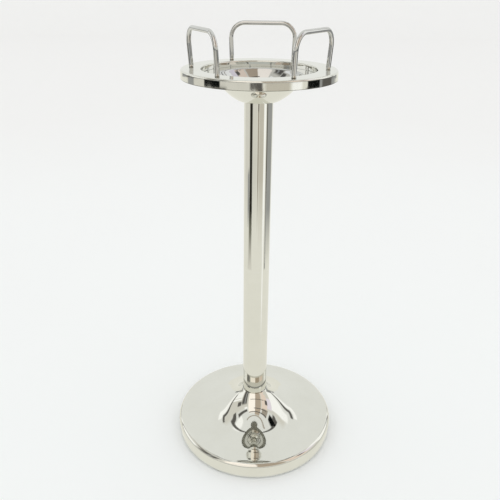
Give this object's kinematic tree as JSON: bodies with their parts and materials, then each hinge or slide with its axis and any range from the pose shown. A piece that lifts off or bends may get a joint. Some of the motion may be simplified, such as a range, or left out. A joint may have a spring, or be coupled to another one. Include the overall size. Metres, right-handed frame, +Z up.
{
  "type": "champagne bucket stand",
  "caption": "Free-standing chrome floor stand for a champagne bucket: weighted round foot, upright tube and a ring tray with bent-rod guards.",
  "frame": {"origin": "on the floor, on the axis of the post, at the middle of the bounding box's bottom", "axes": "+Z up along the post; +Y towards the back guard, which stands 3.6 degrees to the right of +Y seen from above; +X to the right of a viewer facing +Y"},
  "size_m": [0.2534, 0.2534, 0.6328],
  "materials": {
    "polished_chrome": "mirror-polished chrome with fine handling scratches",
    "cast_iron": "rough as-cast, dark",
    "plate_steel": "dull rolled sheet",
    "zinc_steel": "zinc-plated fasteners",
    "turned_steel": "lathe-turned, unplated",
    "black_rubber": "matt moulded ring"
  },
  "bodies": {
    "root": {"base_cover": "polished_chrome", "base_weight": "cast_iron", "base_plate": "plate_steel", "floor_pad": "black_rubber", "post_tube": "polished_chrome", "lower_spigot": "turned_steel", "upper_spigot": "turned_steel", "tray_ring": "polished_chrome", "drip_bowl": "polished_chrome", "guard_back": "polished_chrome", "guard_left": "polished_chrome", "guard_right": "polished_chrome", "guard_washer_1": "zinc_steel", "guard_washer_2": "zinc_steel", "guard_washer_3": "zinc_steel", "guard_washer_4": "zinc_steel", "guard_washer_5": "zinc_steel", "guard_washer_6": "zinc_steel", "guard_nut_1": "zinc_steel", "guard_nut_2": "zinc_steel", "guard_nut_3": "zinc_steel", "guard_nut_4": "zinc_steel", "guard_nut_5": "zinc_steel", "guard_nut_6": "zinc_steel", "tie_rod": "zinc_steel", "foot_washer": "zinc_steel", "foot_spring_washer": "zinc_steel", "foot_nut": "zinc_steel", "cap_washer": "zinc_steel", "cap_nut": "polished_chrome"}
  },
  "joints": []
}
